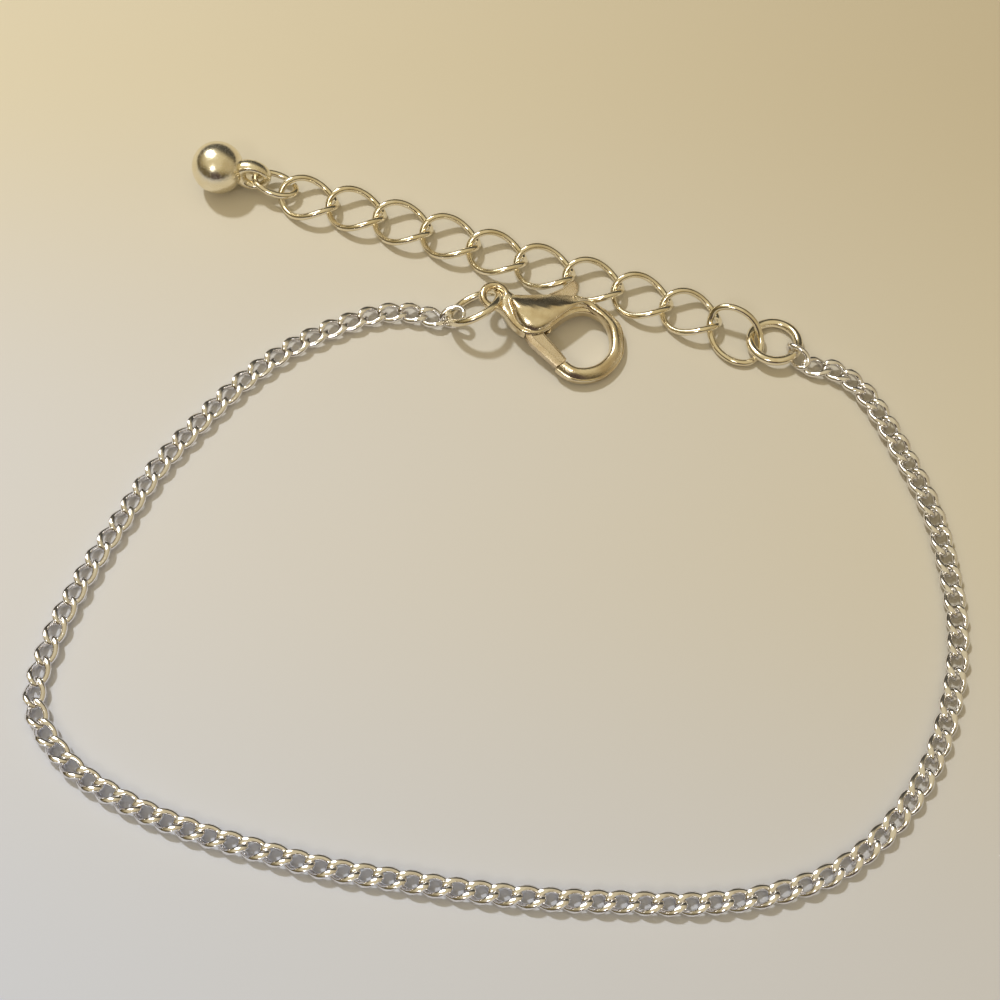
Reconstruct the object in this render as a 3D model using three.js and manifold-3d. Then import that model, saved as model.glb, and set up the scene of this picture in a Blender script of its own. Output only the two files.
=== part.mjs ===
// Chain bracelet: a fine curb chain with a lobster clasp and an extender chain, lying open on a table.
// Millimetres, +Z up. The origin is on the table, under the middle of the whole piece.
import * as THREE from 'three';
import { mergeVertices } from 'three/addons/utils/BufferGeometryUtils.js';
import Module from 'manifold-3d';

const wasm = await Module();
wasm.setup();

// ---- Driving dimensions ----

// Fine curb chain
const CHAIN_WIDTH = 1.62;
const CHAIN_THICKNESS = 1.1;
const CHAIN_HEIGHT = 0.56;
const CHAIN_STEPS = 79;
const END_LINK_WIRE = 0.4;
const END_LINK_SHAPE = { halfLength: 1.04, halfWidth: 0.68, twist: 0.78 };

// Extender: twisted oval links, with the last one opened out a little where it holds the thick ring
const LINK_WIRE = 0.5;
const LINK_SHAPE = { halfLength: 2.25, halfWidth: 1.72, twist: 0.85 };
const LAST_LINK_SHAPE = { halfLength: 2.37, halfWidth: 1.71, twist: 0.59 };
const LINK_HEIGHT = 0.8;

// Lobster clasp, overall length close to 12
const CLASP_EYE_RADIUS = 0.88;
const CLASP_EYE_WIRE = 0.48;
const CLASP_EYE_DEPTH = 0.58;
const CLASP_BACK = -0.8;
const LEVER_THICKNESS = 0.8;
const LEVER_PLAY = 0.07;
const LEVER_LENGTH = 4.14;
const THUMB_START = 2.5;
const THUMB_SLOPE = 0.34;
const GATE_GAP = 0.1;
const PIN_RADIUS = 0.3;
const PIN_TOP = 0.75;
const PIN_PLAY = 0.06;
const PIVOT = new THREE.Vector2(3.3, 0);

// Rings. Two are cut, with a gap at a distance and an angle from the middle; the drop ring is an oval.
const CLASP_RING = { radius: 2.05, wire: 0.57 };
const EXTENDER_RING = { radius: 1.82, wire: 0.69 };
const EXTENDER_RING_CUT = { reach: 1.82, gap: 0.08, gapAt: -15 };
const DROP_RING_WIRE = 0.5;
const DROP_RING_SHAPE = { halfLength: 1.66, halfWidth: 1.04, twist: 0 };
const DROP_RING_CUT = { reach: 1.38, gap: 0.5, gapAt: 32 };
const DROP_RING_TURN = -16;

// Ball drop
const BALL_RADIUS = 2.02;
const BALL_EYE = { radius: 1.03, wire: 0.54, width: 1.05, stretch: 1.2, reach: 2.66 };

// ---- Where each piece lies ----

// Middle of the chain along its route, from the clasp to the extender
const CHAIN_ROUTE = [
  [-4.35, 14.55],
  [-7.2, 15.2],
  [-10.2, 14.8],
  [-14.7, 12.8],
  [-18.6, 9.9],
  [-21.9, 6.3],
  [-24.9, 2.4],
  [-27.3, -1.9],
  [-29.5, -6.2],
  [-31.3, -10.8],
  [-32.0, -15.5],
  [-29.4, -19.5],
  [-25.3, -22.2],
  [-20.8, -24.1],
  [-16.1, -25.5],
  [-11.4, -26.7],
  [-6.5, -27.5],
  [-1.7, -28.2],
  [3.2, -28.7],
  [8.0, -28.9],
  [12.9, -29.0],
  [17.8, -28.4],
  [22.4, -26.8],
  [26.2, -23.8],
  [29.1, -19.9],
  [31.0, -15.4],
  [32.0, -10.6],
  [31.9, -5.7],
  [31.1, -0.9],
  [29.4, 3.7],
  [27.3, 8.1],
  [25.1, 10.2],
  [22.95, 10.6],
];

// Each place: middle of the piece, then the way it is turned, in degrees
const CLASP_PLACE = { at: [-0.41, 15.67, 2.09], azimuth: -32.7, pitch: 8.4 };
const CLASP_RING_PLACE = { at: [-1.96, 15.02, 1.71], lean: 43, towards: 128 };
const EXTENDER_RING_PLACE = { at: [20.67, 12.66, 0.68], lean: 9.4, towards: 87 };
const DROP_RING_PLACE = { at: [-17.61, 26.45, 1.07], lean: 17, towards: 32 };
const BALL_PLACE = { at: [-22.02, 27.35, 2.03], azimuth: -9, pitch: 8, roll: -15 };
const FIRST_END_LINK = { at: [-3.57, 14.52, 1.13], azimuth: 188, pitch: 36, roll: -36 };
const LAST_END_LINK = { at: [22.28, 11.37, 0.84], azimuth: -55, pitch: 2, roll: 60 };

// Middle of each large link, from the ball to the thick ring, with its roll about the chain
const EXTENDER_LINKS = [
  { at: [-14.99, 25.23, LINK_HEIGHT], azimuth: -17 },
  { at: [-11.25, 24.21, LINK_HEIGHT], azimuth: -17.5 },
  { at: [-7.57, 22.94, LINK_HEIGHT], azimuth: -19 },
  { at: [-3.87, 21.68, LINK_HEIGHT], azimuth: -19.5 },
  { at: [-0.26, 20.24, LINK_HEIGHT], azimuth: -20 },
  { at: [3.42, 18.97, LINK_HEIGHT], azimuth: -19 },
  { at: [7.14, 17.77, LINK_HEIGHT], azimuth: -19.5 },
  { at: [10.82, 16.44, LINK_HEIGHT], azimuth: -20.5 },
  { at: [14.45, 15, LINK_HEIGHT], azimuth: -22.5 },
  { at: [17.7, 13.09, 1], azimuth: -50.5, pitch: 18, roll: 25 },
];

// ---- Finishes ----

function silver(colour, roughness) {
  return new THREE.MeshStandardMaterial({ color: colour, roughness, metalness: 1 });
}

const FINISHES = {
  chain: silver(0xdcd8cc, 0.2),
  link: silver(0xd9d2bd, 0.2),
  ring: silver(0xd6d1c2, 0.2),
  clasp: silver(0xd5cdb4, 0.25),
  lever: silver(0xcfc3a6, 0.35),
  pin: silver(0xb8b2a2, 0.4),
  ball: silver(0xdcd8cc, 0.12),
};

// ---- Joining and cutting ----

function toSolid(geometry) {
  const bare = geometry.index ? geometry.toNonIndexed() : geometry.clone();
  bare.deleteAttribute('normal');
  bare.deleteAttribute('uv');
  const merged = mergeVertices(bare, 1e-4);
  const mesh = new wasm.Mesh({
    numProp: 3,
    vertProperties: new Float32Array(merged.attributes.position.array),
    triVerts: new Uint32Array(merged.index.array),
  });
  return new wasm.Manifold(mesh);
}

function toGeometry(solid) {
  const mesh = solid.getMesh();
  const geometry = new THREE.BufferGeometry();
  geometry.setAttribute('position', new THREE.BufferAttribute(new Float32Array(mesh.vertProperties), 3));
  geometry.setIndex(new THREE.BufferAttribute(new Uint32Array(mesh.triVerts), 1));
  geometry.computeVertexNormals();
  return geometry;
}

function joined(geometries) {
  return geometries.map(toSolid).reduce((whole, solid) => whole.add(solid));
}

// ---- Shared shapes ----

// The closed centreline of a curb link, its long way along X. The oval is bent about that axis,
// so the -X end is high on its +Y side and the +X end is high on its -Y side.
class CurbLinkCurve extends THREE.Curve {
  constructor(halfLength, halfWidth, twist) {
    super();
    this.halfLength = halfLength;
    this.halfWidth = halfWidth;
    this.twist = twist;
  }

  getPoint(t, target = new THREE.Vector3()) {
    const around = 2 * Math.PI * t;
    const side = this.halfWidth * Math.sin(around);
    const turn = -this.twist * (Math.PI / 4) * Math.cos(around);
    return target.set(this.halfLength * Math.cos(around), side * Math.cos(turn), side * Math.sin(turn));
  }
}

function curbLinkGeometry({ halfLength, halfWidth, twist }, wire) {
  const sides = 8;
  const steps = 30;
  return new THREE.TubeGeometry(new CurbLinkCurve(halfLength, halfWidth, twist), steps, wire / 2, sides, true);
}

function ringGeometry({ radius, wire }) {
  return new THREE.TorusGeometry(radius, wire / 2, 10, 32);
}

// A ring with a short piece of its wire taken out.
function cutOpen(ring, { reach, gap, gapAt }) {
  const wide = 1.2;
  const tall = 2;
  const block = new THREE.BoxGeometry(wide, gap, tall);
  block.translate(reach, 0, 0).rotateZ(radians(gapAt));
  return toGeometry(toSolid(ring).subtract(toSolid(block)));
}

function radians(degrees) {
  return THREE.MathUtils.degToRad(degrees);
}

// A ring lies in its own XY plane; it leans by tipping its axis towards a compass direction.
function leaningMatrix({ at, lean, towards }) {
  const axis = new THREE.Vector3(-Math.sin(radians(towards)), Math.cos(radians(towards)), 0);
  const matrix = new THREE.Matrix4().makeRotationAxis(axis, radians(lean));
  return matrix.setPosition(...at);
}

// A link or clasp points along its own X axis: rolled about it, pitched down, then turned.
function pointingMatrix({ at, azimuth, pitch = 0, roll = 0 }) {
  const turn = new THREE.Euler(radians(roll), radians(pitch), radians(azimuth), 'ZYX');
  return new THREE.Matrix4().makeRotationFromEuler(turn).setPosition(...at);
}

function namedMesh(name, geometry, material, matrix) {
  const mesh = new THREE.Mesh(geometry, material);
  mesh.name = name;
  if (matrix) mesh.applyMatrix4(matrix);
  return mesh;
}

function ovalSection(halfX, halfY, sides) {
  const shape = new THREE.Shape();
  for (let i = 0; i < sides; i += 1) {
    const angle = (2 * Math.PI * (i + 0.5)) / sides;
    const reach = 1 / Math.cos(Math.PI / sides);
    const x = halfX * reach * Math.cos(angle);
    const y = halfY * reach * Math.sin(angle);
    if (i === 0) shape.moveTo(x, y);
    else shape.lineTo(x, y);
  }
  shape.closePath();
  return shape;
}

// ---- Fine chain ----

function endLinkGeometry(place) {
  return curbLinkGeometry(END_LINK_SHAPE, END_LINK_WIRE).applyMatrix4(pointingMatrix(place));
}

function fineChain() {
  const route = new THREE.CatmullRomCurve3(CHAIN_ROUTE.map(([x, y]) => new THREE.Vector3(x, y, CHAIN_HEIGHT)));
  const section = ovalSection(CHAIN_THICKNESS / 2, CHAIN_WIDTH / 2, 8);
  const tube = new THREE.ExtrudeGeometry(section, { steps: CHAIN_STEPS, extrudePath: route });
  const solid = joined([tube, endLinkGeometry(FIRST_END_LINK), endLinkGeometry(LAST_END_LINK)]);
  return namedMesh('fine_chain', toGeometry(solid), FINISHES.chain);
}

// ---- Lobster clasp, in its own frame: X from the eye to the hook, Y to the thumb side ----

const EYE_CENTRE = [-0.06, 0.1];

// Ribs across the casting, from the eye, over the boss and round the hook to its tip: the two ends of
// each rib, then how high it is domed above the middle and how deep it goes below
const CASTING_RIBS = [
  { near: [0.78, -0.45], far: [0.78, 0.64], top: 0.45, back: 0.45 },
  { near: [1.28, -0.78], far: [1.32, 1.06], top: 0.72, back: 0.62 },
  { near: [1.85, -1.08], far: [1.95, 1.55], top: 0.98, back: 0.75 },
  { near: [2.45, -1.27], far: [2.65, 2.08], top: 1.13, back: 0.8 },
  { near: [3.1, -1.38], far: [3.4, 2.62], top: 1.2, back: 0.8 },
  { near: [3.75, -1.28], far: [4.15, 3.16], top: 1.2, back: 0.8 },
  { near: [4.35, -0.85], far: [4.8, 3.5], top: 1.18, back: 0.8 },
  { near: [4.75, -0.15], far: [5.3, 3.72], top: 1.12, back: 0.8 },
  { near: [4.98, 0.65], far: [5.7, 3.88], top: 1.03, back: 0.78 },
  { near: [5.2, 1.45], far: [6.05, 4.0], top: 0.93, back: 0.74 },
  { near: [5.55, 2.2], far: [6.4, 4.08], top: 0.83, back: 0.69 },
  { near: [6.05, 2.75], far: [6.75, 4.12], top: 0.73, back: 0.64 },
  { near: [6.6, 3.07], far: [7.1, 4.15], top: 0.66, back: 0.61 },
  { near: [7.5, 3.16], far: [7.7, 4.12], top: 0.6, back: 0.6 },
  { near: [8.3, 2.86], far: [8.9, 3.64], top: 0.6, back: 0.6 },
  { near: [8.98, 2.17], far: [9.78, 2.73], top: 0.6, back: 0.6 },
  { near: [9.39, 1.37], far: [10.33, 1.63], top: 0.6, back: 0.6 },
  { near: [9.41, 0.56], far: [10.39, 0.44], top: 0.6, back: 0.6 },
  { near: [9.17, -0.21], far: [10.03, -0.69], top: 0.6, back: 0.6 },
  { near: [8.59, -0.92], far: [9.21, -1.68], top: 0.6, back: 0.6 },
  { near: [7.9, -1.27], far: [8.1, -2.23], top: 0.6, back: 0.6 },
  { near: [6.9, -1.2], far: [6.9, -2.2], top: 0.6, back: 0.6 },
];
const RIB_SQUARENESS = 2.3;

const LEVER_OUTLINE = [
  [7.6, -2.08],
  [7.6, -1.32],
  [4.85, -0.72],
  [4.15, -0.25],
  [4.03, 0.45],
  [4.3, 1.9],
  [4.93, 3.54],
  [4.87, 4.08],
  [4.62, 4.52],
  [4.32, 4.66],
  [4.05, 4.56],
  [3.93, 4.2],
  [3.82, 3.6],
  [3.5, 3.0],
  [2.98, 2.1],
  [2.66, 0.9],
  [2.6, 0],
  [2.78, -0.5],
  [3.25, -0.82],
  [3.65, -1.35],
  [4.2, -1.62],
];

// The space inside the casting that the lever swings through
const CAVITY_OUTLINE = [
  [2.48, -0.4],
  [2.75, -0.7],
  [3.19, -0.88],
  [3.66, -1.5],
  [5.8, -1.8],
  [5.8, 0.35],
  [4.5, 0.35],
  [4.3, 0.6],
  [4.55, 1.8],
  [5.1, 3.3],
  [5.6, 5],
  [1, 3.4],
  [1.85, 1.8],
  [1.95, 1.2],
  [2.15, 0.3],
];

function outlineShape(points) {
  return new THREE.Shape(points.map(([x, y]) => new THREE.Vector2(x, y)));
}

function slab(shape, bottom, top) {
  const geometry = new THREE.ExtrudeGeometry(shape, { depth: top - bottom, bevelEnabled: false });
  return geometry.translate(0, 0, bottom);
}

// A section across the casting: a squarish oval from one end of the rib to the other.
function ribPoints(near, far, top, back, sides) {
  const middle = near.clone().add(far).multiplyScalar(0.5);
  const half = far.clone().sub(near).multiplyScalar(0.5);
  const points = [];
  for (let i = 0; i < sides; i += 1) {
    const angle = (2 * Math.PI * i) / sides;
    const across = Math.sign(Math.cos(angle)) * Math.abs(Math.cos(angle)) ** (2 / RIB_SQUARENESS);
    const up = Math.abs(Math.sin(angle)) ** (2 / RIB_SQUARENESS);
    const height = Math.sin(angle) > 0 ? top * up : -back * up;
    points.push(new THREE.Vector3(middle.x + across * half.x, middle.y + across * half.y, height));
  }
  return points;
}

// The boss and hook are one loft through the ribs, closed at both ends.
function claspCasting() {
  const sides = 16;
  const steps = 60;
  const nearLine = new THREE.CatmullRomCurve3(CASTING_RIBS.map(({ near }) => new THREE.Vector3(...near, 0)));
  const farLine = new THREE.CatmullRomCurve3(CASTING_RIBS.map(({ far }) => new THREE.Vector3(...far, 0)));
  const depths = new THREE.CatmullRomCurve3(
    CASTING_RIBS.map(({ top, back }, i) => new THREE.Vector3(i, top, back)),
  );
  const points = [];
  const faces = [];
  for (let i = 0; i <= steps; i += 1) {
    const depth = depths.getPoint(i / steps);
    const near = nearLine.getPoint(i / steps);
    const far = farLine.getPoint(i / steps);
    points.push(...ribPoints(near, far, depth.y, depth.z, sides));
  }
  for (let i = 0; i < steps; i += 1) {
    for (let j = 0; j < sides; j += 1) {
      const a = i * sides + j;
      const b = i * sides + ((j + 1) % sides);
      faces.push(a, b, a + sides, b, b + sides, a + sides);
    }
  }
  const last = steps * sides;
  for (let j = 1; j < sides - 1; j += 1) {
    faces.push(0, j + 1, j, last, last + j, last + j + 1);
  }
  const geometry = new THREE.BufferGeometry().setFromPoints(points);
  geometry.setIndex(faces);
  return geometry;
}

function claspEye() {
  const torus = new THREE.TorusGeometry(CLASP_EYE_RADIUS, CLASP_EYE_WIRE / 2, 10, 26);
  torus.scale(1, 1, CLASP_EYE_DEPTH / CLASP_EYE_WIRE);
  return torus.translate(...EYE_CENTRE, 0);
}

function pivotCylinder(radius, bottom, top, sides) {
  const cylinder = new THREE.CylinderGeometry(radius, radius, top - bottom, sides);
  cylinder.rotateX(Math.PI / 2);
  return cylinder.translate(PIVOT.x, PIVOT.y, (top + bottom) / 2);
}

function claspBody() {
  const deep = 4;
  const cavityHalf = LEVER_THICKNESS / 2 + LEVER_PLAY;
  const belowBack = new THREE.BoxGeometry(14, 12, deep).translate(5, 1, CLASP_BACK - deep / 2);
  const nearTip = new THREE.BoxGeometry(2.4, 2.4, 2).translate(6.4, -1.8, 0);
  const tipArc = pivotCylinder(LEVER_LENGTH + GATE_GAP, -1, 1, 64);
  const solid = joined([claspCasting(), claspEye()])
    .subtract(toSolid(belowBack))
    .subtract(toSolid(nearTip).intersect(toSolid(tipArc)))
    .subtract(toSolid(slab(outlineShape(CAVITY_OUTLINE), -cavityHalf, cavityHalf)))
    .subtract(toSolid(pivotCylinder(PIN_RADIUS + PIN_PLAY, -deep, PIN_TOP + PIN_PLAY, 20)));
  return namedMesh('clasp_body', toGeometry(solid), FINISHES.clasp);
}

// The thumb end is thinned from below, so it passes over a link lying under it.
function underThumb() {
  const wedge = new THREE.BoxGeometry(8, 4, 2).translate(0, 2, -1);
  wedge.rotateX(THUMB_SLOPE);
  return wedge.translate(PIVOT.x, PIVOT.y + THUMB_START, -LEVER_THICKNESS / 2);
}

function claspLever() {
  const half = LEVER_THICKNESS / 2;
  const plate = toSolid(slab(outlineShape(LEVER_OUTLINE), -half, half));
  const swing = toSolid(pivotCylinder(LEVER_LENGTH, -1, 1, 64));
  const thumbSide = toSolid(new THREE.BoxGeometry(6, 6, 2).translate(3.5, 3.3, 0));
  const bore = toSolid(pivotCylinder(PIN_RADIUS + PIN_PLAY, -1, 1, 20));
  const solid = plate.intersect(swing.add(thumbSide)).subtract(bore).subtract(toSolid(underThumb()));
  return namedMesh('clasp_lever', toGeometry(solid), FINISHES.lever);
}

function claspPin() {
  return namedMesh('clasp_pin', pivotCylinder(PIN_RADIUS, CLASP_BACK + PIN_PLAY, PIN_TOP, 20), FINISHES.pin);
}

function clasp() {
  const group = new THREE.Group();
  group.add(claspBody(), claspLever(), claspPin());
  group.applyMatrix4(pointingMatrix(CLASP_PLACE));
  return group;
}

// ---- Extender ----

function extenderLinks() {
  const plain = curbLinkGeometry(LINK_SHAPE, LINK_WIRE);
  const last = curbLinkGeometry(LAST_LINK_SHAPE, LINK_WIRE);
  return EXTENDER_LINKS.map((place, index) => {
    const name = `extender_link_${String(index + 1).padStart(2, '0')}`;
    const geometry = index === EXTENDER_LINKS.length - 1 ? last : plain;
    return namedMesh(name, geometry, FINISHES.link, pointingMatrix(place));
  });
}

// ---- Ball drop: ball and cast eye in one, the eye standing upright beside the ball ----

function endBall() {
  const ball = new THREE.SphereGeometry(BALL_RADIUS, 28, 18);
  const eye = new THREE.TorusGeometry(BALL_EYE.radius, BALL_EYE.wire / 2, 12, 28);
  eye.scale(BALL_EYE.stretch, 1, BALL_EYE.width / BALL_EYE.wire);
  eye.rotateX(Math.PI / 2);
  eye.translate(BALL_EYE.reach, 0, 0);
  return namedMesh('end_ball', toGeometry(joined([ball, eye])), FINISHES.ball, pointingMatrix(BALL_PLACE));
}

// ---- The whole bracelet ----

function bracelet() {
  const group = new THREE.Group();
  group.add(fineChain());
  group.add(namedMesh('clasp_ring', ringGeometry(CLASP_RING), FINISHES.ring, leaningMatrix(CLASP_RING_PLACE)));
  group.add(clasp());
  group.add(...extenderLinks());
  const thickRing = cutOpen(ringGeometry(EXTENDER_RING), EXTENDER_RING_CUT);
  group.add(namedMesh('extender_ring', thickRing, FINISHES.ring, leaningMatrix(EXTENDER_RING_PLACE)));
  const thinRing = cutOpen(curbLinkGeometry(DROP_RING_SHAPE, DROP_RING_WIRE), DROP_RING_CUT);
  thinRing.rotateZ(radians(DROP_RING_TURN));
  group.add(namedMesh('drop_ring', thinRing, FINISHES.ring, leaningMatrix(DROP_RING_PLACE)));
  group.add(endBall());
  return group;
}

export default bracelet();
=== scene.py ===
import math
import random

import bmesh
import bpy
from mathutils import Euler, Matrix, Vector


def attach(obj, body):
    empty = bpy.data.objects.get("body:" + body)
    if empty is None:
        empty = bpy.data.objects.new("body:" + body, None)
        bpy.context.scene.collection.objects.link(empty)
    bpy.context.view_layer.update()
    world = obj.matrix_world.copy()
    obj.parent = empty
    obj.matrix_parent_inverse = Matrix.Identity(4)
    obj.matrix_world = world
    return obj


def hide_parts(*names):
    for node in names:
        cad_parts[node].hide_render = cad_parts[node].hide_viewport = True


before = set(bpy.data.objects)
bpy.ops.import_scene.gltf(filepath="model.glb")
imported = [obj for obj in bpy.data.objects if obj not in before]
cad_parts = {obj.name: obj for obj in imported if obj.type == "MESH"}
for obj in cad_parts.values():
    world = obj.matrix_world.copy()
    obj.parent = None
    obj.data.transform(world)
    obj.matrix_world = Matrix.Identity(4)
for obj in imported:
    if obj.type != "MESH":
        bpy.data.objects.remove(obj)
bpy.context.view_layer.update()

# ---- Camera ----
# It stands in front of the open run of chain and looks steeply down at the middle of the loop.
camera = bpy.data.objects.new("camera", bpy.data.cameras.new("camera"))
bpy.context.scene.collection.objects.link(camera)
camera.location = (0, -0.04689, 0.11046)
camera.rotation_euler = (math.radians(23), 0, 0)
camera.data.lens = 59.4
camera.data.sensor_width = 36
camera.data.clip_start = 0.001
bpy.context.scene.camera = camera

# ---- Light ----
# One fairly small lamp far off to the left makes the crisp shadows, and a weaker one stands on the
# near side. Two soft panels show only in the metal. The room is warm, bright overhead and dim low
# down, with a few brighter and darker patches, and past the table's edge it is a plain backdrop.
bpy.context.scene.view_settings.view_transform = "Standard"


def lamp(name, towards, strength, width, colour):
    """A far lamp in a given direction, as wide in the sky as the given number of degrees."""
    data = bpy.data.lights.new(name, "SUN")
    data.energy = strength
    data.angle = math.radians(width)
    data.color = colour
    obj = bpy.data.objects.new(name, data)
    bpy.context.scene.collection.objects.link(obj)
    obj.rotation_euler = Vector(towards).to_track_quat("Z", "Y").to_euler()


lamp("key_lamp", (-0.38, 0.52, 1), 1.42, 4.5, (1, 0.99, 0.9))
lamp("side_lamp", (-0.27, -0.58, 0.76), 0.16, 8, (1, 0.95, 0.85))

PANEL_DISTANCE = 0.5


def panel(name, azimuth, elevation, width, height, brightness, colour):
    """A soft oval panel that faces the piece and is seen only in reflections. Its width and height
    are angles in degrees, and its power gives it the wanted brightness at its own size."""
    turn = Matrix.Rotation(math.radians(azimuth), 3, "Z")
    lift = Matrix.Rotation(math.radians(-elevation), 3, "Y")
    towards = turn @ lift @ Vector((1, 0, 0))
    data = bpy.data.lights.new(name, "AREA")
    data.shape = "ELLIPSE"
    data.size = 2 * PANEL_DISTANCE * math.tan(math.radians(width / 2))
    data.size_y = 2 * PANEL_DISTANCE * math.tan(math.radians(height / 2))
    data.energy = brightness * math.pi * math.pi / 4 * data.size * data.size_y
    data.color = colour
    obj = bpy.data.objects.new(name, data)
    bpy.context.scene.collection.objects.link(obj)
    obj.location = towards * PANEL_DISTANCE
    obj.rotation_euler = towards.to_track_quat("Z", "Y").to_euler()
    obj.visible_diffuse = False
    obj.visible_camera = False


panel("tall_panel", 130, 48, 24, 40, 3.2, (1, 0.98, 0.9))
panel("small_panel", 243, 50, 14, 22, 3.0, (1, 0.97, 0.92))

room = bpy.data.worlds.new("room")
bpy.context.scene.world = room
room.use_nodes = True


def node(tree, kind, inputs=None, **settings):
    """Adds a node, sets its fields, and sets or links its inputs."""
    made = tree.nodes.new(kind)
    for key, value in settings.items():
        setattr(made, key, value)
    for key, value in (inputs or {}).items():
        socket = made.inputs[key]
        if isinstance(value, bpy.types.NodeSocket):
            tree.links.new(value, socket)
        else:
            socket.default_value = value
    return made


def ramp(tree, factor, stops):
    """A colour ramp with the given stops, each a place and a colour."""
    made = node(tree, "ShaderNodeValToRGB", {"Fac": factor})
    line = made.color_ramp
    line.interpolation = "EASE"
    while len(line.elements) < len(stops):
        line.elements.new(1)
    for element, (place, colour) in zip(line.elements, stops):
        element.position = place
        element.color = (*colour, 1)
    return made.outputs["Color"]


def mixed(factor, first, second, way="MIX"):
    """Two colours mixed in the tree at hand. Sockets 6 and 7 of this node are its two colours."""
    return node(
        tree, "ShaderNodeMix", {"Factor": factor, 6: first, 7: second}, data_type="RGBA", blend_type=way
    ).outputs[2]


tree = room.node_tree
tree.nodes.clear()
direction = node(tree, "ShaderNodeTexCoord").outputs["Generated"]
height = node(tree, "ShaderNodeSeparateXYZ", {"Vector": direction}).outputs["Z"]
lit = ramp(
    tree,
    height,
    [
        (0.0, (0.055, 0.042, 0.022)),
        (0.2, (0.09, 0.068, 0.034)),
        (0.36, (0.27, 0.21, 0.11)),
        (0.57, (0.44, 0.36, 0.2)),
        (0.77, (0.64, 0.54, 0.34)),
        (1.0, (0.66, 0.56, 0.35)),
    ],
)


def lobe(towards, start, full):
    """How far a direction lies inside a cone: none at the start cosine, all of it at the full one."""
    axis = Vector(towards).normalized()
    facing = node(
        tree, "ShaderNodeVectorMath", {0: direction, 1: axis}, operation="DOT_PRODUCT"
    ).outputs["Value"]
    return ramp(tree, facing, [(start, (0, 0, 0)), (full, (1, 1, 1))])


# Patches of the room: the way to each, the cosines at which it starts and is full, and its colour
PATCHES = [
    ((0.82, -0.2, 0.45), 0.75, 0.98, (0.5, 0.41, 0.25)),
    ((-0.15, -1, 0.16), 0.8, 0.95, (0.08, 0.055, 0.05)),
    ((-0.78, -0.6, 0.12), 0.8, 0.95, (0.13, 0.1, 0.05)),
    ((-0.35, 0.93, 0.12), 0.8, 0.95, (0.075, 0.066, 0.05)),
    ((0.42, 0.866, 0.2), 0.62, 0.93, (0.075, 0.068, 0.055)),
]
for towards, start, full, colour in PATCHES:
    lit = mixed(lobe(towards, start, full), lit, (*colour, 1))

TABLE_LIGHT = (1.12, 1.08, 1.0, 1)
BACKDROP = (0.66, 0.6, 0.5, 1)
ray = node(tree, "ShaderNodeLightPath").outputs
lit = mixed(ray["Is Diffuse Ray"], lit, TABLE_LIGHT, "MULTIPLY")
lit = mixed(ray["Is Camera Ray"], lit, BACKDROP)
background = node(tree, "ShaderNodeBackground", {"Color": lit, "Strength": 1.0})
node(tree, "ShaderNodeOutputWorld", {"Surface": background.outputs[0]})

# ---- Table ----
# A plain pale top of matt card, cream at the far end and greyer at the near end. Its colour also carries
# painted light: the right half is darker, a painted shade of things beside the table, and the near left is
# bluer, a painted tint of cooler light falling there.
TABLE_HALF = 3
TONES_PER_METRE = 11
bm = bmesh.new()
bmesh.ops.create_grid(bm, x_segments=1, y_segments=1, size=TABLE_HALF)
mesh = bpy.data.meshes.new("table_top")
bm.to_mesh(mesh)
bm.free()
table_top = bpy.data.objects.new("table_top", mesh)
bpy.context.scene.collection.objects.link(table_top)

paint = bpy.data.materials.new("pale_card_with_painted_shade")
paint.use_nodes = True
tree = paint.node_tree
tree.nodes.clear()
place = node(tree, "ShaderNodeTexCoord").outputs["Object"]
spread = node(
    tree,
    "ShaderNodeMapping",
    {"Vector": place, "Location": (0.5, 0.5, 0.5), "Scale": (TONES_PER_METRE,) * 3},
).outputs[0]
share = node(tree, "ShaderNodeSeparateXYZ", {"Vector": spread}).outputs
# The two sides hold painted light: the right ramp is darker, a painted shade, and the near end of the left
# ramp is bluer, a painted tint of the light.
left_with_painted_tint = ramp(
    tree,
    share["Y"],
    [(0.1, (0.64, 0.72, 0.98)), (0.5, (0.725, 0.765, 0.92)), (0.95, (0.78, 0.74, 0.64))],
)
right_with_painted_shade = ramp(
    tree,
    share["Y"],
    [(0.1, (0.58, 0.59, 0.65)), (0.5, (0.605, 0.565, 0.47)), (0.95, (0.545, 0.49, 0.38))],
)
card_tone_and_painted_shade = mixed(share["X"], left_with_painted_tint, right_with_painted_shade)
card = node(tree, "ShaderNodeBsdfPrincipled", {"Base Color": card_tone_and_painted_shade, "Roughness": 0.7})
node(tree, "ShaderNodeOutputMaterial", {"Surface": card.outputs[0]})
table_top.data.materials.append(paint)

# ---- Clasp ring ----
# A closed ring of thick round wire that ties the clasp's eye to the first fine link.
# It is silver-plated, and leans on the clasp's eye.
MM = Matrix.Scale(0.001, 4)
CLASP_RING_RADIUS = 2.05
CLASP_RING_WIRE = 0.57


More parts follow.
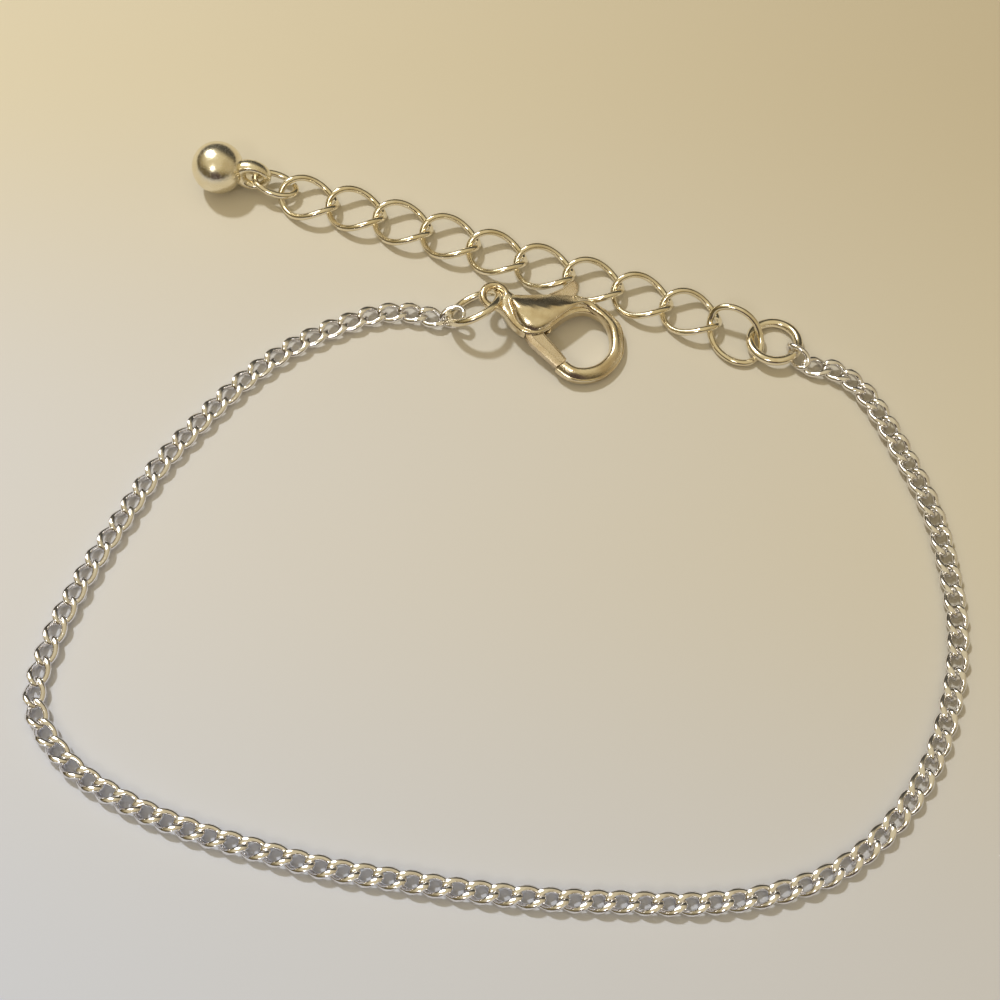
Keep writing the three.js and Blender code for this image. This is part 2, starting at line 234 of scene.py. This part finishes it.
def silver(name, colour, stain, roughness, grain, grain_size, stain_size=900):
    """Plated silver: bright, a little warmer in patches, with a fine grain that also changes its gloss."""
    made = bpy.data.materials.new(name)
    made.use_nodes = True
    tree = made.node_tree
    tree.nodes.clear()
    place = node(tree, "ShaderNodeTexCoord").outputs["Object"]
    patches = node(
        tree, "ShaderNodeTexNoise", {"Vector": place, "Scale": stain_size, "Detail": 4.0}
    ).outputs["Fac"]
    tone = ramp(tree, patches, [(0.35, colour), (0.7, stain)])
    specks = node(
        tree, "ShaderNodeTexNoise", {"Vector": place, "Scale": grain_size, "Detail": 3.0}
    ).outputs["Fac"]
    rough = node(
        tree,
        "ShaderNodeMapRange",
        {
            "Value": specks,
            "From Min": 0.3,
            "From Max": 0.75,
            "To Min": roughness * 0.7,
            "To Max": roughness * 1.4,
        },
    ).outputs[0]
    bump = node(
        tree, "ShaderNodeBump", {"Strength": grain, "Distance": 0.00002, "Height": specks}
    ).outputs[0]
    metal = node(
        tree,
        "ShaderNodeBsdfPrincipled",
        {"Base Color": tone, "Roughness": rough, "Normal": bump, "Metallic": 1.0},
    )
    node(tree, "ShaderNodeOutputMaterial", {"Surface": metal.outputs[0]})
    return made


def round_wire(line, wire, steps, sides, start=0.0, end=2 * math.pi):
    """Round wire along a line. A section is spun into a ring, and each of its points is carried to the
    same place about the line. The line gives the middle of the wire at each angle."""
    whole = abs(end - start - 2 * math.pi) < 1e-6
    bm = bmesh.new()
    upright = Matrix.Translation((1, 0, 0)) @ Matrix.Rotation(math.pi / 2, 4, "X")
    first = Matrix.Rotation(start, 4, "Z") @ upright
    bmesh.ops.create_circle(bm, cap_ends=not whole, segments=sides, radius=wire / 2, matrix=first)
    bmesh.ops.spin(
        bm,
        geom=bm.verts[:] + bm.edges[:] + bm.faces[:],
        cent=(0, 0, 0),
        axis=(0, 0, 1),
        angle=end - start,
        steps=steps,
        use_merge=whole,
    )
    for vert in bm.verts:
        x, y, up = vert.co
        angle = math.atan2(y, x)
        out = math.hypot(x, y) - 1
        middle = line(angle)
        along = (line(angle + 0.01) - line(angle - 0.01)).normalized()
        outward = (middle - middle.dot(along) * along).normalized()
        vert.co = middle + out * outward + up * outward.cross(along)
    bmesh.ops.recalc_face_normals(bm, faces=bm.faces)
    return bm


def circle_line(radius, cut_at=0.0, step=0.0):
    """Middle of the wire in a ring. At a cut, one end stands a small step above the other."""

    def line(angle):
        turned = (angle - math.radians(cut_at)) % (2 * math.pi)
        rise = step * (turned / (2 * math.pi) - 0.5)
        return Vector((radius * math.cos(angle), radius * math.sin(angle), rise))

    return line


def leaning(at, lean, towards):
    """A ring lies flat in its own plane, and its axis then leans towards a compass direction."""
    axis = (-math.sin(math.radians(towards)), math.cos(math.radians(towards)), 0)
    return MM @ Matrix.Translation(at) @ Matrix.Rotation(math.radians(lean), 4, axis)


def finished(name, bm, place, material, body, cad_node):
    """Puts a piece in its place, smooths its shading and ties it to the frame."""
    bmesh.ops.transform(bm, matrix=place, verts=bm.verts)
    for face in bm.faces:
        face.smooth = True
    mesh = bpy.data.meshes.new(name)
    bm.to_mesh(mesh)
    bm.free()
    mesh.set_sharp_from_angle(angle=math.radians(40))
    mesh.materials.append(material)
    piece = bpy.data.objects.new(name, mesh)
    bpy.context.scene.collection.objects.link(piece)
    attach(piece, body)
    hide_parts(cad_node)


ring_silver = silver(
    "ring_silver", (0.9, 0.845, 0.71), (0.82, 0.73, 0.54), roughness=0.13, grain=0.25, grain_size=9000
)
ring = round_wire(circle_line(CLASP_RING_RADIUS), CLASP_RING_WIRE, steps=96, sides=24)
finished(
    "clasp_jump_ring",
    ring,
    leaning((-1.96, 15.02, 1.71), lean=43, towards=128),
    ring_silver,
    "bracelet",
    "clasp_ring",
)

# ---- Fine chain ----
# Curb chain of 98 small soldered links of round wire, pressed a little flat, and each twisted so
# that the chain lies flat. The first link hangs in the clasp ring and the last in the thick ring.
LINKS_BETWEEN_ENDS = 96
FINE_WIRE = 0.47
PRESSED_TO = 0.42
FINE_HEIGHT = 0.58
FINE_DIP = 8
DIP_SPREAD = 1.5
ROLL_SPREAD = 4
MIDDLE_SHIFT = 0.35
END_WIRE = 0.4
SPREAD = random.Random(7)


def curb_line(half_length, half_width, twist):
    """Middle of the wire in a curb link: an oval, bent about its long way as the ends are twisted."""

    def line(angle):
        turn = -twist * (math.pi / 4) * math.cos(angle)
        side = half_width * math.sin(angle)
        return Vector((half_length * math.cos(angle), side * math.cos(turn), side * math.sin(turn)))

    return line


def pointing(at, azimuth, pitch=0.0, roll=0.0):
    """A link points along its own X: it is rolled about it, pitched down, then turned."""
    turn = Euler((math.radians(roll), math.radians(pitch), math.radians(azimuth)), "XYZ")
    return Matrix.Translation(at) @ turn.to_matrix().to_4x4()


# Middle of the chain along its route, from the clasp to the extender
ROUTE = [
    (-4.35, 14.55), (-7.2, 15.2), (-10.2, 14.8), (-14.7, 12.8), (-18.6, 9.9), (-21.9, 6.3),
    (-24.9, 2.4), (-27.3, -1.9), (-29.5, -6.2), (-31.3, -10.8), (-32.0, -15.5), (-29.4, -19.5),
    (-25.3, -22.2), (-20.8, -24.1), (-16.1, -25.5), (-11.4, -26.7), (-6.5, -27.5), (-1.7, -28.2),
    (3.2, -28.7), (8.0, -28.9), (12.9, -29.0), (17.8, -28.4), (22.4, -26.8), (26.2, -23.8),
    (29.1, -19.9), (31.0, -15.4), (32.0, -10.6), (31.9, -5.7), (31.1, -0.9), (29.4, 3.7),
    (27.3, 8.1), (25.1, 10.2), (22.95, 10.6),
]


def smooth_route(points, steps):
    """Points close together on a smooth line through the given ones."""
    rounded = []
    ends = [points[0]] + points + [points[-1]]
    for p0, p1, p2, p3 in zip(ends, ends[1:], ends[2:], ends[3:]):
        for i in range(steps):
            t = i / steps
            rounded.append(
                0.5
                * (
                    2 * p1
                    + (p2 - p0) * t
                    + (2 * p0 - 5 * p1 + 4 * p2 - p3) * t * t
                    + (3 * p1 - p0 - 3 * p2 + p3) * t**3
                )
            )
    return rounded + [points[-1]]


walk = smooth_route([Vector((x, y, 0)) for x, y in ROUTE], 30)
reach = [0.0]
for near, away in zip(walk, walk[1:]):
    reach.append(reach[-1] + (away - near).length)


def on_route(distance):
    """Point of the route at a distance from its start."""
    distance = min(max(distance, 0.0), reach[-1])
    for i in range(1, len(reach)):
        if reach[i] >= distance:
            share = (distance - reach[i - 1]) / (reach[i] - reach[i - 1])
            return walk[i - 1].lerp(walk[i], share)
    return walk[-1]


def kept_mesh(name, bm):
    """A mesh made from a bmesh, which is then let go."""
    mesh = bpy.data.meshes.new(name)
    bm.to_mesh(mesh)
    bm.free()
    return mesh


def add_link(chain, mesh, place):
    """One more link in the chain, at its place."""
    before = len(chain.verts)
    chain.from_mesh(mesh)
    chain.verts.ensure_lookup_table()
    bmesh.ops.transform(chain, matrix=place, verts=chain.verts[before:])


fine_line = curb_line(half_length=1.02, half_width=0.61, twist=1.15)
end_line = curb_line(half_length=1.04, half_width=0.68, twist=0.78)
link = round_wire(fine_line, FINE_WIRE, steps=24, sides=10)
for vert in link.verts:
    vert.co.z = min(max(vert.co.z, -PRESSED_TO), PRESSED_TO)
fine_link = kept_mesh("fine_link", link)
end_link = kept_mesh("end_link", round_wire(end_line, END_WIRE, steps=40, sides=12))

chain = bmesh.new()
add_link(chain, end_link, pointing((-3.57, 14.52, 1.13), 188, pitch=36, roll=-36))
add_link(chain, end_link, pointing((22.28, 11.37, 0.84), -55, pitch=2, roll=60))

# The other links stand almost evenly along the route: those halfway are a little nearer the extender
step = reach[-1] / LINKS_BETWEEN_ENDS
for i in range(LINKS_BETWEEN_ENDS):
    shift = MIDDLE_SHIFT * math.sin(math.pi * (i + 0.5) / LINKS_BETWEEN_ENDS)
    distance = (i + 0.5) * step + shift
    middle = on_route(distance)
    ahead = on_route(distance + 0.4) - on_route(distance - 0.4)
    azimuth = math.degrees(math.atan2(ahead.y, ahead.x))
    pitch = -FINE_DIP + SPREAD.uniform(-DIP_SPREAD, DIP_SPREAD)
    roll = SPREAD.uniform(-ROLL_SPREAD, ROLL_SPREAD)
    add_link(chain, fine_link, pointing((middle.x, middle.y, FINE_HEIGHT), azimuth, pitch, roll))

chain_silver = silver(
    "chain_silver", (0.89, 0.89, 0.92), (0.83, 0.81, 0.82), roughness=0.1, grain=0.15, grain_size=14000
)
finished("curb_chain", chain, MM, chain_silver, "bracelet", "fine_chain")

# ---- Thick ring ----
# A ring of thick round wire, cut open and pressed shut round the last fine link, so that its two
# ends don't quite meet.
THICK_RING_RADIUS = 1.82
THICK_RING_WIRE = 0.69
THICK_RING_CUT = -15
HALF_CUT = 1.3
ring = round_wire(
    circle_line(THICK_RING_RADIUS, THICK_RING_CUT, step=0.07),
    THICK_RING_WIRE,
    steps=96,
    sides=24,
    start=math.radians(THICK_RING_CUT + HALF_CUT),
    end=math.radians(360 + THICK_RING_CUT - HALF_CUT),
)
finished(
    "thick_ring",
    ring,
    leaning((20.67, 12.66, 0.68), lean=9.4, towards=87),
    ring_silver,
    "bracelet",
    "extender_ring",
)

# ---- Extender ----
# Ten larger twisted oval links of round wire, each soldered shut. The last one, which hangs in the
# thick ring, is a little flatter and longer.
LINK_WIRE = 0.5
LINK_HEIGHT = 0.8
LINK_LINE = curb_line(half_length=2.25, half_width=1.72, twist=0.85)
LAST_LINK_LINE = curb_line(half_length=2.37, half_width=1.71, twist=0.59)

# Middle of each link that lies flat, from the ball on, and its compass direction
LYING_LINKS = [
    (-14.99, 25.23, -17),
    (-11.25, 24.21, -17.5),
    (-7.57, 22.94, -19),
    (-3.87, 21.68, -19.5),
    (-0.26, 20.24, -20),
    (3.42, 18.97, -19),
    (7.14, 17.77, -19.5),
    (10.82, 16.44, -20.5),
    (14.45, 15.0, -22.5),
]
extender = [pointing((x, y, LINK_HEIGHT), azimuth) for x, y, azimuth in LYING_LINKS]
extender.append(pointing((17.7, 13.09, 1), -50.5, pitch=18, roll=25))
link_silver = silver(
    "link_silver", (0.9, 0.845, 0.71), (0.82, 0.735, 0.54), roughness=0.1, grain=0.15, grain_size=12000
)
for number, place in enumerate(extender, start=1):
    line = LAST_LINK_LINE if number == len(extender) else LINK_LINE
    finished(
        f"wire_link_{number:02d}",
        round_wire(line, LINK_WIRE, steps=80, sides=18),
        MM @ place,
        link_silver,
        "bracelet",
        f"extender_link_{number:02d}",
    )

# ---- Drop ring ----
# An oval of the same wire, cut and left a little open, that ties the ball's eye to the extender.
OVAL_CUT = 45
HALF_OPENING = 10.3
OVAL_TURN = Matrix.Rotation(math.radians(-16), 4, "Z")
ring = round_wire(
    curb_line(half_length=1.66, half_width=1.04, twist=0),
    LINK_WIRE,
    steps=88,
    sides=18,
    start=math.radians(OVAL_CUT + HALF_OPENING),
    end=math.radians(360 + OVAL_CUT - HALF_OPENING),
)
finished(
    "oval_ring",
    ring,
    leaning((-17.61, 26.45, 1.07), lean=17, towards=32) @ OVAL_TURN,
    link_silver,
    "bracelet",
    "drop_ring",
)

# ---- Ball drop ----
# A polished ball with its hanging eye cast on. The eye stands upright beside the ball, and its metal
# is thicker and wider where it joins the ball.
BALL_RADIUS = 2.02
EYE_REACH = 2.66
EYE_OUTSIDE = 1.3
EYE_STRETCH = 1.2
EYE_THICK = 0.74
EYE_WIDE = 1.15
ball = bmesh.new()
bmesh.ops.create_uvsphere(ball, u_segments=96, v_segments=48, radius=BALL_RADIUS)

# The eye starts as a fat ring whose round section is one unit each way from its middle line, and the
# section is then drawn to its own thickness and width at each point round the ring.
eye = round_wire(circle_line(1), 2, steps=72, sides=28)
for vert in eye.verts:
    x, y, up = vert.co
    far = max(math.hypot(x, y), 0.001)
    towards_ball = -math.cos(math.atan2(y, x))
    thick = EYE_THICK + 0.22 * towards_ball
    wide = EYE_WIDE + 0.2 * towards_ball
    radius = EYE_OUTSIDE - thick / 2 + (far - 1) * thick / 2
    vert.co = (EYE_STRETCH * radius * x / far, radius * y / far, up * wide / 2)
bmesh.ops.rotate(eye, cent=(0, 0, 0), matrix=Matrix.Rotation(math.pi / 2, 3, "X"), verts=eye.verts)
bmesh.ops.translate(eye, vec=(EYE_REACH, 0, 0), verts=eye.verts)
ball.from_mesh(kept_mesh("ball_eye", eye))
ball_silver = silver(
    "ball_silver", (0.9, 0.85, 0.71), (0.86, 0.79, 0.61), roughness=0.22, grain=0.35, grain_size=9000
)
finished(
    "ball_drop",
    ball,
    MM @ pointing((-22.02, 27.35, 2.03), -9, pitch=8, roll=-12),
    ball_silver,
    "bracelet",
    "end_ball",
)

# ---- Clasp ----
# The casting of a lobster clasp: a domed boss on a thin flat-backed plate, a hook that runs round from
# it, and an eye at its narrow end. It is cast in one piece, plated, and slotted for the lever.
# In its own frame the clasp runs along X from its eye, and Y points to the thumb piece's side.
CLASP_PLACE = pointing((-0.41, 15.67, 2.09), -32.7, pitch=8.4)
PIVOT = (3.3, 0.0)
CLASP_EYE_RADIUS = 0.9
CLASP_EYE_WIRE = 0.58
CLASP_EYE_DEPTH = 1.1
SLOT_HALF = 0.44
TIP_REACH = 4.24
RIGHT_THROUGH = 1.2
SKIN = 0.042

# Near end x, y; far end x, y; height at the near and the far end; depth of the back
PLATE_RIBS = [
    (0.56, -0.84, 0.56, 1.05, 0.32, 0.32, 0.28),
    (0.88, -0.8, 0.9, 1.02, 0.4, 0.36, 0.45),
    (1.28, -0.82, 1.32, 1.09, 0.52, 0.34, 0.62),
    (1.85, -1.08, 1.95, 1.55, 0.62, 0.24, 0.75),
    (2.45, -1.27, 2.65, 2.08, 0.64, 0.2, 0.8),
    (3.1, -1.38, 3.4, 2.62, 0.7, 0.2, 0.8),
    (3.75, -1.28, 4.15, 3.16, 0.76, 0.2, 0.8),
    (4.35, -0.85, 4.8, 3.5, 0.76, 0.2, 0.8),
    (4.75, -0.15, 5.3, 3.72, 0.72, 0.2, 0.8),
    (4.98, 0.65, 5.7, 3.88, 0.64, 0.2, 0.78),
    (5.2, 1.45, 6.05, 4.0, 0.53, 0.2, 0.74),
    (5.55, 2.2, 6.4, 4.08, 0.47, 0.2, 0.69),
    (6.05, 2.75, 6.75, 4.12, 0.4, 0.2, 0.64),
    (6.6, 3.07, 7.1, 4.15, 0.34, 0.2, 0.61),
    (7.5, 3.16, 7.7, 4.12, 0.28, 0.2, 0.6),
    (8.3, 2.86, 8.98, 3.76, 0.24, 0.2, 0.6),
    (8.98, 2.17, 9.9, 2.82, 0.22, 0.22, 0.6),
    (9.39, 1.37, 10.48, 1.67, 0.22, 0.22, 0.6),
    (9.41, 0.56, 10.54, 0.42, 0.22, 0.22, 0.6),
    (9.17, -0.21, 10.17, -0.77, 0.22, 0.22, 0.6),
    (8.59, -0.92, 9.3, -1.79, 0.22, 0.22, 0.6),
    (7.9, -1.27, 8.12, -2.32, 0.22, 0.22, 0.6),
    (6.9, -1.2, 6.9, -2.28, 0.22, 0.22, 0.6),
]

# Near end x, y; far end x, y; height of the crest, and where it stands between the two ends
DOME_RIBS = [
    (1.03, 0.5, 1.04, 0.92, 0.45, 0.3),
    (1.1, 0.28, 1.19, 1.01, 0.7, 0.26),
    (1.3, 0.06, 1.54, 1.21, 0.9, 0.24),
    (1.64, -0.26, 2.03, 1.53, 1.06, 0.24),
    (2.0, -0.58, 2.6, 1.94, 1.15, 0.27),
    (2.46, -0.88, 3.23, 2.41, 1.2, 0.38),
    (3.05, -1.09, 3.93, 2.91, 1.22, 0.45),
    (3.62, -1.08, 4.48, 3.24, 1.22, 0.55),
    (4.08, -0.9, 4.93, 3.47, 1.19, 0.62),
    (4.45, -0.45, 5.33, 3.64, 1.14, 0.68),
    (4.68, 0.21, 5.63, 3.76, 1.08, 0.72),
    (4.87, 1.05, 5.87, 3.87, 1.0, 0.74),
    (5.08, 1.85, 6.11, 3.94, 0.9, 0.76),
    (5.48, 2.58, 6.35, 3.98, 0.81, 0.76),
    (6.0, 3.1, 6.7, 4.05, 0.73, 0.62),
    (6.55, 3.2, 7.08, 4.04, 0.68, 0.5),
    (7.51, 3.19, 7.67, 3.97, 0.64, 0.44),
    (8.32, 2.89, 8.88, 3.62, 0.62, 0.44),
    (9.0, 2.19, 9.76, 2.72, 0.62, 0.44),
    (9.42, 1.38, 10.32, 1.62, 0.62, 0.44),
    (9.44, 0.56, 10.37, 0.44, 0.62, 0.44),
    (9.2, -0.22, 10.02, -0.69, 0.62, 0.44),
    (8.61, -0.94, 9.19, -1.66, 0.62, 0.44),
    (7.9, -1.3, 8.09, -2.16, 0.61, 0.44),
    (6.9, -1.23, 6.9, -2.12, 0.6, 0.44),
]
PLATE_SQUARENESS = 4.2
DOME_SQUARENESS = 2.7
DOME_FALL = 0.6
DOME_BACK = 0.1


def plate_height(across, up, near_top, far_top, back):
    """A flat-topped band that is deeper below than above."""
    return up * (near_top + across * (far_top - near_top) if up > 0 else back)


def dome_height(across, up, top, crest):
    """A dome that rises to its crest, then slopes down almost straight to the far end."""
    if up <= -0.01:
        return up * DOME_BACK
    if across < crest:
        return top * (1 - (1 - across / crest) ** DOME_SQUARENESS) ** (1 / DOME_SQUARENESS)
    return top * (1 - DOME_FALL * ((across - crest) / (1 - crest)) ** 1.5)


def loft(ribs, steps, sides, squareness, height):
    """A closed solid through ribs. A disc is drawn out into a rod, and each of its slices is carried to
    its rib: a squarish oval from one end of the rib to the other, whose height is worked out from the
    rib's last numbers."""
    slices = smooth_route([Vector(rib) for rib in ribs], steps)
    bm = bmesh.new()
    disc = Matrix.Rotation(math.pi / 2, 4, "Y")
    bmesh.ops.create_circle(bm, cap_ends=True, segments=sides, radius=1, matrix=disc)
    bmesh.ops.spin(
        bm,
        geom=bm.verts[:] + bm.edges[:] + bm.faces[:],
        axis=(1, 0, 0),
        dvec=(1, 0, 0),
        angle=0,
        steps=len(slices) - 1,
    )
    for vert in bm.verts:
        near_x, near_y, far_x, far_y, *heights = slices[round(vert.co.x)]
        across = math.copysign(abs(vert.co.y) ** (2 / squareness), vert.co.y) / 2 + 0.5
        up = math.copysign(abs(vert.co.z) ** (2 / squareness), vert.co.z)
        vert.co = (
            near_x + across * (far_x - near_x),
            near_y + across * (far_y - near_y),
            height(across, up, *heights),
        )
    bmesh.ops.recalc_face_normals(bm, faces=bm.faces)
    return bm


def prism(outline, low, high):
    """A flat outline drawn up into a solid."""
    bm = bmesh.new()
    face = bm.faces.new([bm.verts.new((x, y, low)) for x, y in outline])
    drawn = bmesh.ops.extrude_face_region(bm, geom=[face])["geom"]
    risen = [part for part in drawn if isinstance(part, bmesh.types.BMVert)]
    bmesh.ops.translate(bm, vec=(0, 0, high - low), verts=risen)
    bmesh.ops.recalc_face_normals(bm, faces=bm.faces)
    return bm


def loose_object(name, *parts):
    """One object, still in millimetres, from several parts."""
    bm = bmesh.new()
    for part in parts:
        mesh = kept_mesh(name, part)
        bm.from_mesh(mesh)
        bpy.data.meshes.remove(mesh)
    made = bpy.data.objects.new(name, kept_mesh(name, bm))
    bpy.context.scene.collection.objects.link(made)
    return made


def with_modifiers(made):
    """A bmesh of an object as its modifiers leave it; the object itself is removed."""
    seen = made.evaluated_get(bpy.context.evaluated_depsgraph_get())
    bm = bmesh.new()
    bm.from_mesh(seen.to_mesh())
    seen.to_mesh_clear()
    bpy.data.objects.remove(made)
    return bm


def pivot_arc(radius, start, end, count):
    """Points round the pivot, by angle in degrees."""
    points = []
    for i in range(count):
        angle = math.radians(start + (end - start) * i / (count - 1))
        points.append((PIVOT[0] + radius * math.cos(angle), PIVOT[1] + radius * math.sin(angle)))
    return points


eye = round_wire(circle_line(CLASP_EYE_RADIUS), CLASP_EYE_WIRE, steps=64, sides=20)
bmesh.ops.scale(eye, vec=(1, 1, CLASP_EYE_DEPTH), verts=eye.verts)
bmesh.ops.translate(eye, vec=(-0.06, 0.1, 0), verts=eye.verts)
plate = loft(PLATE_RIBS, 5, 56, PLATE_SQUARENESS, plate_height)
dome = loft(DOME_RIBS, 5, 48, DOME_SQUARENESS, dome_height)

# Plate, dome and eye are run together under one skin, which is smoothed to soften every join
rough_cast = loose_object("rough_cast", plate, dome, eye)
rough_cast.modifiers.new("one_skin", "REMESH").voxel_size = SKIN
casting = with_modifiers(rough_cast)
for _ in range(3):
    bmesh.ops.smooth_vert(
        casting, verts=casting.verts, factor=0.5, use_axis_x=True, use_axis_y=True, use_axis_z=True
    )

# The slot that the lever turns in is cut through the boss, and the hook's tip is cut along the arc
# that the end of the lever sweeps.
SLOT_OUTLINE = [
    (2.48, -0.4), (2.75, -0.7), (3.19, -0.88), (3.62, -1.4), (5.8, -1.8), (5.8, 0.35), (4.5, 0.35),
    (4.3, 0.6), (4.55, 1.8), (5.1, 3.3), (5.6, 5), (1, 3.4), (1.85, 1.8), (1.95, 1.2), (2.15, 0.3),
]
slot = loose_object("slot", prism(SLOT_OUTLINE, -SLOT_HALF, SLOT_HALF))
tip_outline = [(5.2, -3), (5.2, -0.6)] + pivot_arc(TIP_REACH, -8, -46, 20)
tip_cut = loose_object("tip_cut", prism(tip_outline, -RIGHT_THROUGH, RIGHT_THROUGH))
slotted = loose_object("slotted", casting)
for tool in (slot, tip_cut):
    cut = slotted.modifiers.new(tool.name, "BOOLEAN")
    cut.operation = "DIFFERENCE"
    cut.object = tool
casting = with_modifiers(slotted)
bpy.data.objects.remove(slot)
bpy.data.objects.remove(tip_cut)
clasp_silver = silver(
    "clasp_silver",
    (0.88, 0.805, 0.64),
    (0.68, 0.57, 0.39),
    roughness=0.17,
    grain=0.55,
    grain_size=11000,
    stain_size=700,
)
finished(
    "clasp_casting",
    casting,
    MM @ CLASP_PLACE,
    clasp_silver,
    "bracelet",
    "clasp_body",
)
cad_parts["clasp_pin"].data.materials.clear()
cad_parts["clasp_pin"].data.materials.append(clasp_silver)

# ---- Lever ----
# The sprung lever that shuts the hook: a flat stamped bar with a thumb piece at its far end. It turns
# on a pin through the boss, and its edges are rubbed round.
LEVER_OUTLINE = [
    (6.88, -2.08), (7.07, -1.71), (7.2, -1.42), (7.16, -1.18), (6.38, -0.9), (5.3, -0.6), (4.15, -0.25),
    (4.03, 0.45), (4.3, 1.9), (4.93, 3.54), (4.87, 4.08), (4.62, 4.52), (4.32, 4.66), (4.05, 4.56),
    (3.93, 4.2), (3.82, 3.6), (3.5, 3.0), (2.98, 2.1), (2.66, 0.9), (2.6, 0), (2.78, -0.5),
    (3.25, -0.82), (3.65, -1.35), (4.2, -1.62),
]
LEVER_HALF = 0.4
THUMB_START = 2.5
THUMB_SLOPE = 0.34
THUMB_UNDERSIDE = 0.22
CORNER_WIDTH = 0.34
CORNER_FOOT = 0.24
RIM = 0.05
lever = prism(LEVER_OUTLINE, -LEVER_HALF, LEVER_HALF)

# The underside of the thumb piece slopes up, so that it is thin where it is pushed
whole = lever.verts[:] + lever.edges[:] + lever.faces[:]
bmesh.ops.bisect_plane(lever, geom=whole, plane_co=(0, THUMB_START, 0), plane_no=(0, 1, 0))
for vert in lever.verts:
    if vert.co.z < 0:
        rise = max(vert.co.y - THUMB_START, 0) * math.tan(THUMB_SLOPE)
        vert.co.z = min(vert.co.z + rise, THUMB_UNDERSIDE)


def outer_corner(edge):
    """The long corner of the bar that faces away from the hook, on its upper side."""
    middle = (edge.verts[0].co + edge.verts[1].co) / 2
    return middle.z > 0.39 and middle.y < -1.3 and middle.x < 6.9 and edge.calc_length() > 0.5


# The outer corner is taken off as a wide slope, and then every rim is rubbed round
corner = [edge for edge in lever.edges if outer_corner(edge)]
bmesh.ops.bevel(
    lever,
    geom=corner,
    offset=CORNER_WIDTH,
    offset_type="OFFSET",
    affect="EDGES",
    segments=1,
    profile=0.5,
    material=-1,
)
for vert in lever.verts:
    if 0 < vert.co.z < 0.1:
        vert.co.z = CORNER_FOOT
rims = [edge for edge in lever.edges if edge.calc_face_angle(0) > math.radians(60)]
bmesh.ops.bevel(
    lever,
    geom=rims,
    offset=RIM,
    offset_type="OFFSET",
    affect="EDGES",
    segments=3,
    profile=0.5,
    material=-1,
)

# The flat top is sunk a little inside its rim
crown = [face for face in lever.faces if face.normal.z > 0.99 and face.calc_area() > 1]
bmesh.ops.inset_region(lever, faces=crown, thickness=RIM, depth=0)
bmesh.ops.inset_region(lever, faces=crown, thickness=RIM, depth=-RIM)
lever_silver = silver(
    "lever_silver",
    (0.76, 0.67, 0.53),
    (0.62, 0.51, 0.37),
    roughness=0.28,
    grain=0.3,
    grain_size=12000,
    stain_size=700,
)
finished(
    "gate_lever",
    lever,
    MM @ CLASP_PLACE,
    lever_silver,
    "lever",
    "clasp_lever",
)
